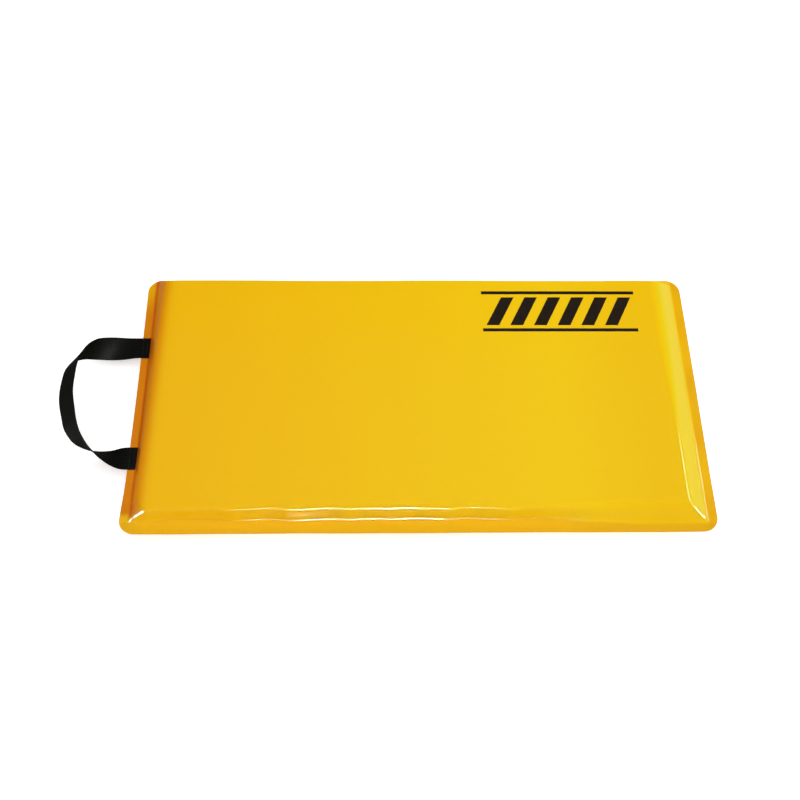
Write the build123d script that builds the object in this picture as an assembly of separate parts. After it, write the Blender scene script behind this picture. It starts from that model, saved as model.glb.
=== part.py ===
from build123d import *
import math
import os

# Kneeling pad: a foam slab sealed inside two glossy vinyl sheets, with a webbing carry handle sewn to
# the left welded edge. All sizes are in millimetres. +X runs along the pad away from the handle, +Y
# runs to its rear long side and +Z is up. The origin is on the floor under the middle of the outline.

# Outline and thickness
PAD_LENGTH = 600.0  # outer edge to outer edge of the welded flange, along X
PAD_WIDTH = 300.0  # the same, along Y
FOAM_THICKNESS = 30.0
SHEET_THICKNESS = 0.6  # one vinyl sheet
FLANGE_CORNER_RADIUS = 15.0

# Welded flange, from the outer edge in to the weld crease, on each side
FLANGE_LEFT = 10.0
FLANGE_RIGHT = 10.0
FLANGE_FRONT = 15.0
FLANGE_REAR = 6.0

# Plan run of the sloping walls, from the weld crease up to the shoulder, on each side
SLOPE_LEFT = 11.0
SLOPE_RIGHT = 20.0
SLOPE_FRONT = 4.5
SLOPE_REAR = 3.5
CREASE_CORNER_RADIUS = 8.0
SHOULDER_CORNER_RADIUS = 7.0
SHOULDER_ROUNDING = 4.0
FOAM_SIDE_GAP = 0.2  # the foam stands this far clear of the sloping walls, level with the mid plane

# Webbing handle
STRAP_WIDTH = 25.0
STRAP_THICKNESS = 1.4
TAB_CREASE_GAP = 0.0  # from the weld crease out to the inner end of the webbing
TAB_OVERHANG = 0.1  # past the flange's outer edge
TAB_SPACING = 130.5  # between the centre lines of the two sewn ends
HANDLE_OFFSET = -3.65  # middle of the handle along Y
HANDLE_REACH = 63.0  # from the root of the loop out to the middle of the arch
HANDLE_RISE = 27.4  # from the sewn ends up to the middle of the arch
FOLD_GAP = 0.8  # between each sewn end and the root of the loop, where the webbing bends

# Tacking stitches
THREAD_DIAMETER = 0.5
STITCH_LENGTH = 2.6
STITCH_PITCH = 3.1
STITCH_SIDE_INSET = 1.8  # from the webbing's long edges in to a row's ends
STITCH_ROW_INSET = 2.9  # from the inner and the outer end of the sewn length to its row
STITCH_BEND_RADIUS = 0.45

# Printed warning bars on the top sheet
INK_THICKNESS = 0.05
MARK_RIGHT_GAP = 28.0  # from the right shoulder in to the mark
MARK_REAR_GAP = 14.5  # from the rear shoulder in to the mark
MARK_LENGTH = 170.0
MARK_HEIGHT = 52.0
BAR_WIDTH = 14.0
BAR_PITCH = 26.0
BAR_LEAN = 18.0  # how far the top of each bar leans towards +X
RULE_THICKNESS = 4.0
RULE_GAP = 4.0

# Levels
MID_LEVEL = SHEET_THICKNESS + FOAM_THICKNESS / 2
FLANGE_TOP = MID_LEVEL + SHEET_THICKNESS
PAD_TOP = FOAM_THICKNESS + 2 * SHEET_THICKNESS
STRAP_MID = FLANGE_TOP + STRAP_THICKNESS / 2
FOLD_X = -PAD_LENGTH / 2 - TAB_OVERHANG - FOLD_GAP / 2
TAB_OUTER_X = -PAD_LENGTH / 2 - TAB_OVERHANG
TAB_INNER_X = -PAD_LENGTH / 2 + FLANGE_LEFT - TAB_CREASE_GAP
MARK_CENTRE_X = PAD_LENGTH / 2 - FLANGE_RIGHT - SLOPE_RIGHT - MARK_RIGHT_GAP - MARK_LENGTH / 2
MARK_CENTRE_Y = PAD_WIDTH / 2 - FLANGE_REAR - SLOPE_REAR - MARK_REAR_GAP - MARK_HEIGHT / 2

# The loop of the handle from its rear end to its front end. Each station is the middle of the
# webbing: share of the reach, share of half the tab spacing, share of the rise, and the roll of the
# webbing about its own run in degrees. The webbing is stiff, so it leaves the flange flat, dips a
# little and rolls up on edge into the arch.
LOOP_STATIONS = (
    (0.0, 1.0, 0.0, 0.0),
    (0.27, 0.995, -0.03, 12.0),
    (0.484, 0.983, 0.02, 32.0),
    (0.678, 0.937, 0.193, 57.0),
    (0.83, 0.839, 0.44, 93.0),
    (0.934, 0.683, 0.69, 121.0),
    (0.987, 0.487, 0.872, 133.0),
    (1.0, 0.22, 0.97, 137.5),
    (0.987, -0.1, 1.0, 138.0),
    (0.92, -0.384, 0.96, 136.0),
    (0.861, -0.592, 0.88, 132.0),
    (0.761, -0.772, 0.708, 116.0),
    (0.6125, -0.893, 0.474, 89.0),
    (0.436, -0.965, 0.245, 62.0),
    (0.248, -0.997, 0.07, 32.0),
    (0.05, -1.0, 0.0, 2.0),
    (0.0, -1.0, 0.0, 0.0),
)


def outline(left, right, front, rear, radius, level):
    """Rounded rectangle between four side lines, as a face at one level."""
    middle = Plane(origin=((left + right) / 2, (front + rear) / 2, level))
    return middle * RectangleRounded(right - left, rear - front, radius)


def mitre(run, depth):
    """Plan inset of a sheet's inner face from its outer face, where level meets slope."""
    slope = math.atan2(FOAM_THICKNESS / 2, run)
    return depth * math.tan(slope / 2)


def mound(depth, gap, low, rounding):
    """Raised middle of the pad above the weld crease.

    depth is the sheet thickness left outside it, gap its extra plan clearance, low its base level.
    """
    crease = [
        -PAD_LENGTH / 2 + FLANGE_LEFT + mitre(SLOPE_LEFT, depth) + gap,
        PAD_LENGTH / 2 - FLANGE_RIGHT - mitre(SLOPE_RIGHT, depth) - gap,
        -PAD_WIDTH / 2 + FLANGE_FRONT + mitre(SLOPE_FRONT, depth) + gap,
        PAD_WIDTH / 2 - FLANGE_REAR - mitre(SLOPE_REAR, depth) - gap,
    ]
    runs = [SLOPE_LEFT, -SLOPE_RIGHT, SLOPE_FRONT, -SLOPE_REAR]
    shoulder = [line + run for line, run in zip(crease, runs)]
    base = outline(*crease, CREASE_CORNER_RADIUS - depth - gap, low)
    top = outline(*shoulder, SHOULDER_CORNER_RADIUS - depth - gap, low + FOAM_THICKNESS / 2)
    body = loft([base, top])
    return fillet(body.edges().group_by(Axis.Z)[-1], rounding)


def stretched(row):
    """Middle point of the webbing at one station of the loop."""
    out, across, rise, _ = row
    return Vector(
        FOLD_X - FOLD_GAP / 2 - HANDLE_REACH * out,
        HANDLE_OFFSET + TAB_SPACING / 2 * across,
        STRAP_MID + HANDLE_RISE * rise,
    )


def run_directions(points):
    """Direction of the webbing at each station, straight out of the flange at both ends."""
    inner = [(after - before).normalized() for before, after in zip(points, points[2:])]
    return [Vector(-1, 0, 0)] + inner + [Vector(1, 0, 0)]


def strap_section(point, along, roll):
    """Rectangular cross-section of the webbing, rolled about its run."""
    up = Vector(0, 0, 1)
    side = up.cross(along).normalized()
    turn = math.radians(roll)
    across = up * math.sin(turn) - side * math.cos(turn)
    across = across - along * across.dot(along)
    plane = Plane(origin=point, x_dir=across.normalized(), z_dir=along)
    return plane * Rectangle(STRAP_WIDTH, STRAP_THICKNESS)


def sewn_end(middle_y):
    """Flat end of the webbing lying on the flange."""
    centre = ((TAB_INNER_X + TAB_OUTER_X) / 2, middle_y, STRAP_MID)
    return Pos(*centre) * Box(TAB_INNER_X - TAB_OUTER_X, STRAP_WIDTH, STRAP_THICKNESS)


def stitch():
    """One closed lockstitch round the webbing and both sheets, running along Y."""
    top = FLANGE_TOP + STRAP_THICKNESS + THREAD_DIAMETER / 2
    bottom = MID_LEVEL - SHEET_THICKNESS - THREAD_DIAMETER / 2
    half = (STITCH_LENGTH - THREAD_DIAMETER) / 2
    corners = [(0, -half, bottom), (0, -half, top), (0, half, top), (0, half, bottom)]
    path = FilletPolyline(*corners, radius=STITCH_BEND_RADIUS, close=True)
    start = path ^ 0
    return sweep(Plane(origin=start.position, z_dir=path % 0) * Circle(THREAD_DIAMETER / 2), path)


def tack(middle_y):
    """Rows of stitches holding one sewn end."""
    single = stitch()
    steps = int((STRAP_WIDTH - 2 * STITCH_SIDE_INSET - STITCH_LENGTH) / STITCH_PITCH)
    first = middle_y - STITCH_PITCH * steps / 2
    rows = (TAB_INNER_X - STITCH_ROW_INSET, TAB_OUTER_X + STITCH_ROW_INSET)
    return Compound(
        children=[
            Pos(row, first + STITCH_PITCH * step, 0) * single
            for row in rows
            for step in range(steps + 1)
        ]
    )


def bar(middle_x, low, high):
    """One leaning bar of the printed mark."""
    corners = [
        (middle_x - BAR_WIDTH / 2 - BAR_LEAN / 2, low),
        (middle_x + BAR_WIDTH / 2 - BAR_LEAN / 2, low),
        (middle_x + BAR_WIDTH / 2 + BAR_LEAN / 2, high),
        (middle_x - BAR_WIDTH / 2 + BAR_LEAN / 2, high),
    ]
    face = make_face(Polyline(*corners, close=True))
    return extrude(Pos(0, 0, PAD_TOP) * face, INK_THICKNESS)


def rule(middle_y):
    """One straight rule of the printed mark, along X."""
    centre = (MARK_CENTRE_X, middle_y, PAD_TOP + INK_THICKNESS / 2)
    return Pos(*centre) * Box(MARK_LENGTH, RULE_THICKNESS, INK_THICKNESS)


def warning_bars():
    """A row of leaning bars between two rules."""
    low = MARK_CENTRE_Y - MARK_HEIGHT / 2
    high = MARK_CENTRE_Y + MARK_HEIGHT / 2
    bar_low = low + RULE_THICKNESS + RULE_GAP
    bar_high = high - RULE_THICKNESS - RULE_GAP
    count = int((MARK_LENGTH - BAR_WIDTH - BAR_LEAN) / BAR_PITCH) + 1
    first = MARK_CENTRE_X - BAR_PITCH * (count - 1) / 2
    bars = [bar(first + BAR_PITCH * step, bar_low, bar_high) for step in range(count)]
    return Compound(children=bars + [rule(low + RULE_THICKNESS / 2), rule(high - RULE_THICKNESS / 2)])


mid_plane = Plane.XY.offset(MID_LEVEL)
inner_rounding = SHOULDER_ROUNDING - SHEET_THICKNESS

plate = extrude(
    outline(
        -PAD_LENGTH / 2,
        PAD_LENGTH / 2,
        -PAD_WIDTH / 2,
        PAD_WIDTH / 2,
        FLANGE_CORNER_RADIUS,
        MID_LEVEL,
    ),
    SHEET_THICKNESS,
)
cavity = mound(SHEET_THICKNESS, 0.0, MID_LEVEL, inner_rounding)
top_cover = plate + mound(0.0, 0.0, FLANGE_TOP, SHOULDER_ROUNDING) - cavity
bottom_cover = mirror(top_cover, about=mid_plane)

upper_foam = mound(SHEET_THICKNESS, FOAM_SIDE_GAP, MID_LEVEL, inner_rounding)
foam_core = upper_foam + mirror(upper_foam, about=mid_plane)

loop_points = [stretched(row) for row in LOOP_STATIONS]
loop_runs = run_directions(loop_points)
handle_loop = loft(
    [
        strap_section(point, along, row[3])
        for point, along, row in zip(loop_points, loop_runs, LOOP_STATIONS)
    ]
)

rear_y = HANDLE_OFFSET + TAB_SPACING / 2
front_y = HANDLE_OFFSET - TAB_SPACING / 2

nodes = {
    "top_cover": top_cover,
    "bottom_cover": bottom_cover,
    "foam_core": foam_core,
    "handle_rear_tab": sewn_end(rear_y),
    "handle_front_tab": sewn_end(front_y),
    "handle_loop": handle_loop,
    "rear_tack_stitches": tack(rear_y),
    "front_tack_stitches": tack(front_y),
    "printed_mark": warning_bars(),
}

os.makedirs("parts", exist_ok=True)
for name, shape in nodes.items():
    export_step(shape, f"parts/{name}.step")
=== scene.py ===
"""Looks of a kneeling pad: foam welded into two glossy vinyl sheets, with a sewn webbing handle.

Sizes in the classes are in millimetres, and Blender's meshes are in metres. +X runs along the pad away
from the handle, +Y to its rear long side, +Z up from the floor, with the origin under the pad's middle.
"""

import logging
import math
from dataclasses import dataclass, field, replace
from enum import Enum
from typing import Any, Callable, Sequence

import bpy
import numpy as np
from mathutils import Matrix, Vector


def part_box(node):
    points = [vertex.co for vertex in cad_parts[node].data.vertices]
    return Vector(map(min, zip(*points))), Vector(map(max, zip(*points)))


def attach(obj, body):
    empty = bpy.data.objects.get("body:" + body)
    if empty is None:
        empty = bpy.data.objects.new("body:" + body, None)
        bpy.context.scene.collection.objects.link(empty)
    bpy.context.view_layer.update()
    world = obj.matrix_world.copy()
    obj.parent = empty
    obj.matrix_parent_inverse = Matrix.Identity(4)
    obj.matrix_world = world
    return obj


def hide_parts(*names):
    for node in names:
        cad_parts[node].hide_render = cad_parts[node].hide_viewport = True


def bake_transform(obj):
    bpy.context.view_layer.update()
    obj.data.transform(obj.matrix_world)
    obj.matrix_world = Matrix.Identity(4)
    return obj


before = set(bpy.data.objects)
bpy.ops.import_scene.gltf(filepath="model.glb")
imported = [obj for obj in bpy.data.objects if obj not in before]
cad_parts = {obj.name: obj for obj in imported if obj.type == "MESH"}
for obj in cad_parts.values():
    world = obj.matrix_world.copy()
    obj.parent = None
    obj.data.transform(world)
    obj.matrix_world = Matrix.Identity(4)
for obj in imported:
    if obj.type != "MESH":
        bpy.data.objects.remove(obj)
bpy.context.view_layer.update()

MM = 0.001
log = logging.getLogger("kneeling_pad")


# ---------------------------------------------------------------------------------------------------
# Small tools
# ---------------------------------------------------------------------------------------------------


def linear(code: str) -> tuple[float, float, float, float]:
    """Turns an sRGB hex colour to linear RGBA.

    Args:
        code: Six hex digits after a hash sign.

    Returns:
        Red, green, blue and an alpha of 1.
    """
    values = [int(code[i : i + 2], 16) / 255 for i in (1, 3, 5)]
    red, green, blue = (v / 12.92 if v <= 0.04045 else ((v + 0.055) / 1.055) ** 2.4 for v in values)
    return red, green, blue, 1.0


def add_node(
    tree: bpy.types.NodeTree,
    kind: str,
    inputs: dict[str | int, Any] | None = None,
    stops: Sequence[tuple[float, str]] = (),
    **settings: Any,
) -> bpy.types.Node:
    """Adds one node with its settings and links.

    Args:
        tree: The node tree that the node joins.
        kind: The node's Blender type name.
        inputs: Each socket's value, or the output socket that is linked to it.
        stops: Position and sRGB hex colour of each stop of a colour ramp, lowest first.
        **settings: The node's own properties.

    Returns:
        The new node.
    """
    node = tree.nodes.new(kind)
    for name, value in settings.items():
        setattr(node, name, value)
    for name, value in (inputs or {}).items():
        if isinstance(value, bpy.types.NodeSocket):
            tree.links.new(value, node.inputs[name])
        else:
            node.inputs[name].default_value = value
    if stops:
        elements = node.color_ramp.elements
        while len(elements) < len(stops):
            elements.new(0.5)
        for element, (position, colour) in zip(elements, stops):
            element.position = position
            element.color = linear(colour)
    return node


def new_material(name: str) -> tuple[bpy.types.Material, bpy.types.NodeTree, bpy.types.NodeSocket]:
    """Starts a node material.

    Args:
        name: What the material is called.

    Returns:
        The material, its node tree, and the place on the piece, which its patterns follow.
    """
    material = bpy.data.materials.new(name)
    material.use_nodes = True
    tree = material.node_tree
    tree.nodes.clear()
    return material, tree, add_node(tree, "ShaderNodeTexCoord").outputs["Object"]


def finish_surface(
    tree: bpy.types.NodeTree,
    height: bpy.types.NodeSocket,
    depth_mm: float,
    sockets: dict[str, Any],
    strength: float = 1.0,
) -> None:
    """Ends a material's node tree with its relief, its shader and the output.

    Args:
        tree: The material's node tree.
        height: The pattern that stands up from the surface.
        depth_mm: How far it stands up.
        sockets: Values and links of the shader's sockets.
        strength: Share of the relief that shows.
    """
    relief = add_node(
        tree, "ShaderNodeBump", {"Height": height, "Distance": depth_mm * MM, "Strength": strength}
    )
    shader = add_node(tree, "ShaderNodeBsdfPrincipled", {**sockets, "Normal": relief.outputs["Normal"]})
    add_node(tree, "ShaderNodeOutputMaterial", {"Surface": shader.outputs["BSDF"]})


def mesh_piece(
    name: str, points: np.ndarray, faces: Sequence[Sequence[int]], sharp_deg: float = 180.0
) -> bpy.types.Object:
    """Makes a smooth-shaded mesh object from points in millimetres.

    Args:
        name: The piece's name.
        points: One row of x, y, z for each vertex.
        faces: Vertex numbers of each face.
        sharp_deg: Edges that bend more than this stay sharp.

    Returns:
        The object, linked to the scene.
    """
    mesh = bpy.data.meshes.new(name)
    mesh.from_pydata((np.asarray(points, float) * MM).tolist(), [], [list(f) for f in faces])
    mesh.validate()
    mesh.polygons.foreach_set("use_smooth", [True] * len(mesh.polygons))
    if sharp_deg < 180.0:
        mesh.set_sharp_from_angle(angle=math.radians(sharp_deg))
    mesh.update()
    piece = bpy.data.objects.new(name, mesh)
    bpy.context.scene.collection.objects.link(piece)
    return piece


def settled(piece: bpy.types.Object, sharp_deg: float = 40.0) -> bpy.types.Object:
    """Makes a piece's modifiers part of its mesh, and keeps its sharp edges sharp.

    Args:
        piece: The object with its modifiers.
        sharp_deg: Edges that bend more than this stay sharp.

    Returns:
        The same object, with no modifiers.
    """
    graph = bpy.context.evaluated_depsgraph_get()
    mesh = bpy.data.meshes.new_from_object(piece.evaluated_get(graph), depsgraph=graph)
    piece.modifiers.clear()
    piece.data = mesh
    mesh.set_sharp_from_angle(angle=math.radians(sharp_deg))
    return piece


def grid_faces(rows: int, columns: int, ring: bool = False) -> list[tuple[int, int, int, int]]:
    """Faces of a grid of vertices numbered row by row.

    Args:
        rows: Number of rows of vertices.
        columns: Number of vertices in a row.
        ring: Whether each row closes on itself.

    Returns:
        Vertex numbers of each four-sided face.
    """
    faces = []
    for row in range(0, (rows - 1) * columns, columns):
        for here in range(columns if ring else columns - 1):
            beside = (here + 1) % columns
            faces.append((row + here, row + beside, row + columns + beside, row + columns + here))
    return faces


def slab_faces(rows: int, columns: int) -> list[tuple[int, ...]]:
    """Faces of a closed slab: an upper grid, a lower grid of the same size, and the walls between.

    Args:
        rows: Number of rows of vertices in each grid.
        columns: Number of vertices in a row.

    Returns:
        Vertex numbers of each face; the lower grid's vertices follow the upper grid's.
    """
    count = rows * columns
    upper = grid_faces(rows, columns)
    lower = [tuple(vertex + count for vertex in face[::-1]) for face in upper]
    front = list(range(columns))
    right = [row * columns + columns - 1 for row in range(1, rows)]
    back = [(rows - 1) * columns + column for column in range(columns - 2, -1, -1)]
    left = [row * columns for row in range(rows - 2, 0, -1)]
    rim = front + right + back + left
    walls = [(b, a, a + count, b + count) for a, b in zip(rim, rim[1:] + rim[:1])]
    return upper + lower + walls


def dress(piece: bpy.types.Object, material: bpy.types.Material) -> None:
    """Gives a piece its one material."""
    piece.data.materials.clear()
    piece.data.materials.append(material)


def soft_min(a: np.ndarray, b: np.ndarray, blend: np.ndarray | float) -> np.ndarray:
    """Lower of two heights.

    Args:
        a: One height at each place.
        b: The other height.
        blend: Heights that are within this of each other are rounded together.

    Returns:
        The lower height, less a little where the two meet.
    """
    near = np.maximum(blend - np.abs(a - b), 0.0) / blend
    return np.minimum(a, b) - near * near * blend / 4


def soft_max(a: np.ndarray, b: np.ndarray, blend: np.ndarray | float) -> np.ndarray:
    """Higher of two heights, rounded as soft_min rounds."""
    return -soft_min(-a, -b, blend)


def smooth_step(value: np.ndarray | float) -> np.ndarray:
    """Goes from 0 to 1 with level ends as value does."""
    share = np.clip(value, 0.0, 1.0)
    return share * share * (3 - 2 * share)


def bump_at(value: np.ndarray, middle: float, spread: float) -> np.ndarray:
    """Bell of height 1 at the middle."""
    return np.exp(-(((value - middle) / spread) ** 2))


# ---------------------------------------------------------------------------------------------------
# Finishes
# ---------------------------------------------------------------------------------------------------


@dataclass(frozen=True)
class CalenderedVinyl:
    """Plasticised PVC sheet rolled between polished cylinders.

    It is glossy enough to mirror lamps as sharp lines. Its yellow is painted deeper at the handle end
    and lightest past the middle: painted light for how the light falls across the top. Painted shade
    turns it a deep orange beside the handle and at the cut edge, the far end's flange is a little
    deeper orange, painted shade makes the doubled flange a duller gold along the front and right, and
    a painted reflection makes the long right slope more lemon. A very fine orange peel keeps
    reflections from being perfect.
    """

    # Painted light: the yellow is deeper at the handle end and lightest past the middle, for how light
    # falls across the top.
    handle_end: str = "#EFB70D"
    middle: str = "#F0C410"
    far_end: str = "#ECBC0E"
    # Painted shade: a deep orange for the shade beside the handle and at the cut edge, and the far
    # flange's orange.
    welded: str = "#C94606"
    # Painted shade: a duller gold on the front and right flange, against light that bounces onto it.
    pressed: str = "#DFA80E"
    # Painted reflection and light: a lemon yellow with less red on the long right slope, for its pale
    # reflection and the strong key light there.
    reflection_lemon: str = "#E0C30C"
    roughness: float = 0.1
    ior: float = 1.53
    specular: float = 0.25
    half_length_mm: float = 300.0
    peel_mm: float = 2.6
    peel_depth_mm: float = 0.004

    def material(self) -> bpy.types.Material:
        """Builds the node material.

        Returns:
            The vinyl material.
        """
        material, tree, place = new_material("pvc_sheet_calendered_gloss")
        axes = add_node(tree, "ShaderNodeSeparateXYZ", {"Vector": place})
        half = self.half_length_mm * MM
        # Painted light along X: a colour ramp that stands in for how the light falls across the top.
        share = add_node(
            tree,
            "ShaderNodeMapRange",
            {"Value": axes.outputs["X"], "From Min": -half, "From Max": half},
        )
        painted_falloff = add_node(
            tree,
            "ShaderNodeValToRGB",
            {"Fac": share.outputs["Result"]},
            stops=[(0.1, self.handle_end), (0.75, self.middle), (0.9, self.far_end)],
        )
        tint = painted_falloff.outputs["Color"]
        # Painted layers: a painted reflection on the right slope, painted shade on the front and right
        # flange, and painted shade in deep orange beside the handle.
        layers = (
            ("slope_painted_reflection", self.reflection_lemon),
            ("flange_painted_shade", self.pressed),
            ("painted_shade", self.welded),
        )
        for layer, colour in layers:
            share = add_node(tree, "ShaderNodeAttribute", attribute_name=layer)
            mixed = add_node(
                tree,
                "ShaderNodeMixRGB",
                {"Fac": share.outputs["Fac"], "Color1": tint, "Color2": linear(colour)},
            )
            tint = mixed.outputs["Color"]
        peel = add_node(
            tree,
            "ShaderNodeTexNoise",
            {"Vector": place, "Scale": 1 / (self.peel_mm * MM), "Detail": 1.0},
        )
        finish_surface(
            tree,
            peel.outputs["Fac"],
            self.peel_depth_mm,
            {
                "Base Color": tint,
                "Roughness": self.roughness,
                "IOR": self.ior,
                "Specular IOR Level": self.specular,
            },
        )
        return material


@dataclass(frozen=True)
class WovenPolypropylene:
    """Black polypropylene webbing woven from bulked yarn.

    The yarn's filaments give a low, broad sheen, and the hollows between the picks are painted darker
    than the floats: painted shade in the weave's recesses.
    """

    yarn: str = "#13140E"
    # Painted shade colour for the weave's hollows.
    hollow_shade: str = "#030302"
    roughness: float = 0.55
    ior: float = 1.1
    filament_mm: float = 0.35
    filament_depth_mm: float = 0.05

    def material(self) -> bpy.types.Material:
        """Builds the node material.

        Returns:
            The webbing material.
        """
        material, tree, place = new_material("polypropylene_webbing_woven")
        yarn_height = add_node(tree, "ShaderNodeAttribute", attribute_name="yarn_height")
        strands = add_node(
            tree,
            "ShaderNodeTexNoise",
            {"Vector": place, "Scale": 1 / (self.filament_mm * MM), "Detail": 3.0, "Roughness": 0.7},
        )
        # Painted shade: the weave's hollows darker than its floats.
        tint = add_node(
            tree,
            "ShaderNodeValToRGB",
            {"Fac": yarn_height.outputs["Fac"]},
            stops=[(0.15, self.hollow_shade), (0.8, self.yarn)],
        )
        finish_surface(
            tree,
            strands.outputs["Fac"],
            self.filament_depth_mm,
            {
                "Base Color": tint.outputs["Color"],
                "Roughness": self.roughness,
                "IOR": self.ior,
                "Specular IOR Level": 0.3,
            },
            strength=0.8,
        )
        return material


@dataclass(frozen=True)
class BondedThread:
    """Twisted black polyester sewing thread, slightly shinier than the webbing."""

    ply: str = "#121213"
    # Painted shade colour for the grooves of the twist.
    groove: str = "#080808"
    roughness: float = 0.6
    ior: float = 1.15
    twist_mm: float = 0.6
    twist_depth_mm: float = 0.05

    def material(self) -> bpy.types.Material:
        """Builds the node material.

        Returns:
            The thread material.
        """
        material, tree, place = new_material("polyester_thread_twisted")
        twist = add_node(
            tree,
            "ShaderNodeTexWave",
            {"Vector": place, "Scale": 1 / (self.twist_mm * MM) / math.tau, "Distortion": 1.0},
            bands_direction="DIAGONAL",
        )
        # Painted shade: the twist's grooves darker than its plies.
        tint = add_node(
            tree,
            "ShaderNodeValToRGB",
            {"Fac": twist.outputs["Fac"]},
            stops=[(0.1, self.groove), (0.9, self.ply)],
        )
        finish_surface(
            tree,
            twist.outputs["Fac"],
            self.twist_depth_mm,
            {
                "Base Color": tint.outputs["Color"],
                "Roughness": self.roughness,
                "IOR": self.ior,
            },
        )
        return material


@dataclass(frozen=True)
class ScreenInk:
    """Dark solvent ink screen-printed on the vinyl: satin, and slightly uneven in thickness."""

    thick: str = "#1C1208"
    thin: str = "#24180A"
    roughness: float = 0.3
    mottle_mm: float = 6.0
    mottle_depth_mm: float = 0.01

    def material(self) -> bpy.types.Material:
        """Builds the node material.

        Returns:
            The ink material.
        """
        material, tree, place = new_material("vinyl_ink_screen_printed")
        mottle = add_node(
            tree,
            "ShaderNodeTexNoise",
            {"Vector": place, "Scale": 1 / (self.mottle_mm * MM), "Detail": 4.0},
        )
        tint = add_node(
            tree,
            "ShaderNodeValToRGB",
            {"Fac": mottle.outputs["Fac"]},
            stops=[(0.3, self.thick), (0.7, self.thin)],
        )
        finish_surface(
            tree,
            mottle.outputs["Fac"],
            self.mottle_depth_mm,
            {
                "Base Color": tint.outputs["Color"],
                "Roughness": self.roughness,
                "Specular IOR Level": 0.3,
            },
        )
        return material


@dataclass(frozen=True)
class CrosslinkedFoam:
    """Closed-cell polyethylene foam with a skin of fine cells: matte and pale grey."""

    cell: str = "#C9C8C2"
    wall: str = "#A9A8A1"
    cell_mm: float = 1.2
    cell_depth_mm: float = 0.15

    def material(self) -> bpy.types.Material:
        """Builds the node material.

        Returns:
            The foam material.
        """
        material, tree, place = new_material("polyethylene_foam_closed_cell")
        cells = add_node(
            tree, "ShaderNodeTexVoronoi", {"Vector": place, "Scale": 1 / (self.cell_mm * MM)}
        )
        tint = add_node(
            tree,
            "ShaderNodeValToRGB",
            {"Fac": cells.outputs["Distance"]},
            stops=[(0.1, self.cell), (0.9, self.wall)],
        )
        finish_surface(
            tree,
            cells.outputs["Distance"],
            self.cell_depth_mm,
            {
                "Base Color": tint.outputs["Color"],
                "Roughness": 0.9,
            },
        )
        return material


@dataclass(frozen=True)
class StudioPaper:
    """Seamless white paper lit through from below: matte, with the faintest tooth and a slight glow."""

    colour: str = "#DCDCDA"
    glow: float = 0.58
    tooth_mm: float = 1.11
    tooth_depth_mm: float = 0.02

    def material(self) -> bpy.types.Material:
        """Builds the node material.

        Returns:
            The paper material.
        """
        material, tree, place = new_material("seamless_paper_matte")
        tooth = add_node(
            tree,
            "ShaderNodeTexNoise",
            {"Vector": place, "Scale": 1 / (self.tooth_mm * MM), "Detail": 2.0},
        )
        finish_surface(
            tree,
            tooth.outputs["Fac"],
            self.tooth_depth_mm,
            {
                "Base Color": linear(self.colour),
                "Roughness": 0.95,
                "Specular IOR Level": 0.1,
                "Emission Color": (1.0, 1.0, 1.0, 1.0),
                "Emission Strength": self.glow,
            },
        )
        return material


# ---------------------------------------------------------------------------------------------------
# The pad
# ---------------------------------------------------------------------------------------------------


class Half(Enum):
    """Upper or lower sheet of the pad."""

    UPPER = 1
    LOWER = -1


@dataclass(frozen=True)
class Side:
    """One side of the pad: its flange width, the run of its wall, and how softly they blend."""

    flange: float
    run: float
    shoulder: float
    crease: float


@dataclass(frozen=True)
class Fade:
    """A share that changes between 0 and 1 over a length, from a start at a distance from an edge."""

    start: float
    length: float

    def near(self, inset: np.ndarray) -> np.ndarray:
        """Share that grows towards the edge."""
        return smooth_step((self.start - inset) / self.length)

    def past(self, inset: np.ndarray) -> np.ndarray:
        """Share that grows away from the edge."""
        return smooth_step((inset - self.start) / self.length)


@dataclass(frozen=True)
class Ripple:
    """A shallow wave in the sheet: its depth, its length over one radian, and its phase."""

    depth: float
    length: float
    phase: float = 0.0

    def at(self, place: np.ndarray, side: np.ndarray | float = 1.0) -> np.ndarray:
        """Height of the wave; a side of -1 turns the phase round."""
        return self.depth * np.sin(place / self.length + self.phase * side)


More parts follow.
